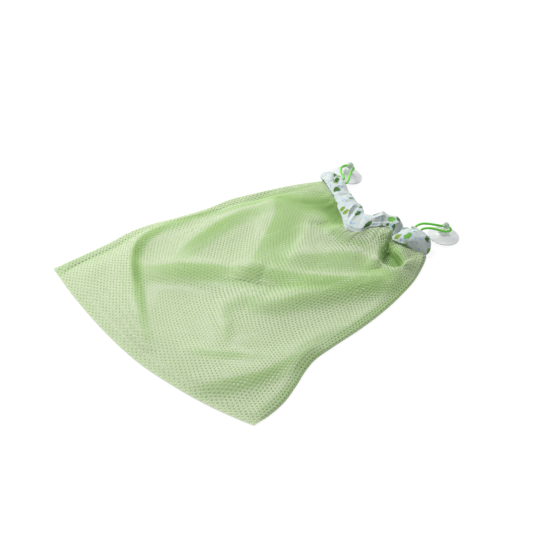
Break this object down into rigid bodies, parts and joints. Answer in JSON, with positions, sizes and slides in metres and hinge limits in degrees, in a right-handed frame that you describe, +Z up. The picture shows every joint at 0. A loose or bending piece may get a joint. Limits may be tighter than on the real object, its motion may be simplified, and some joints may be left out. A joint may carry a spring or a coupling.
{
  "type": "bath toy organizer",
  "caption": "Net bag for bath toys with a gathered elastic cuff, hung from two suction cups on cord loops, lying empty.",
  "frame": {"origin": "centre of the base of the bounding box, on the surface the bag lies on", "axes": "+Z up, +Y along the bag from the bottom fold to the mouth, +X across the bag"},
  "size_m": [0.3282, 0.404, 0.0236],
  "materials": {
    "knitted_net": "light green polyester knitted net, holes about 1.2 mm, soft sheen",
    "seam_allowance": "two layers of the same net, overlocked",
    "printed_cotton": null,
    "woven_elastic": "white woven elastic",
    "sewing_thread": "white polyester thread in dense rows",
    "elastic_cord": "bright green braided elastic cord",
    "soft_pvc": "milky clear soft PVC, glossy"
  },
  "bodies": {
    "bag": {"net_front": "knitted_net", "net_back": "knitted_net", "side_seam_left": "seam_allowance", "side_seam_right": "seam_allowance", "cuff_front": "printed_cotton", "cuff_back": "printed_cotton", "elastic_front": "woven_elastic", "elastic_back": "woven_elastic", "cuff_seam_left": "sewing_thread", "cuff_seam_right": "sewing_thread", "loop_tack_left": "sewing_thread", "loop_tack_right": "sewing_thread"},
    "left_loop": {"loop_left": "elastic_cord"},
    "left_cup": {"suction_cup_left": "soft_pvc"},
    "right_loop": {"loop_right": "elastic_cord"},
    "right_cup": {"suction_cup_right": "soft_pvc"}
  },
  "joints": [
    {"name": "loop_left_swing", "type": "hinge", "parent": "bag", "child": "left_loop", "pos_m": [-0.05361, 0.16823, 0.01173], "axis": [0.9153, -0.4027, 0], "range_deg": [0, 100]},
    {"name": "cup_left_spin", "type": "hinge", "parent": "left_loop", "child": "left_cup", "pos_m": [-0.06867, 0.18457, 0.00364], "axis": [0.1418, 0.1521, 0.9781], "continuous": true},
    {"name": "loop_right_swing", "type": "hinge", "parent": "bag", "child": "right_loop", "pos_m": [0.06689, 0.16206, 0.0134], "axis": [1, 0.0078, 0], "range_deg": [0, 100]},
    {"name": "cup_right_spin", "type": "hinge", "parent": "right_loop", "child": "right_cup", "pos_m": [0.08569, 0.18025, 0.00213], "axis": [0.0831, 0.0891, 0.9925], "continuous": true}
  ]
}
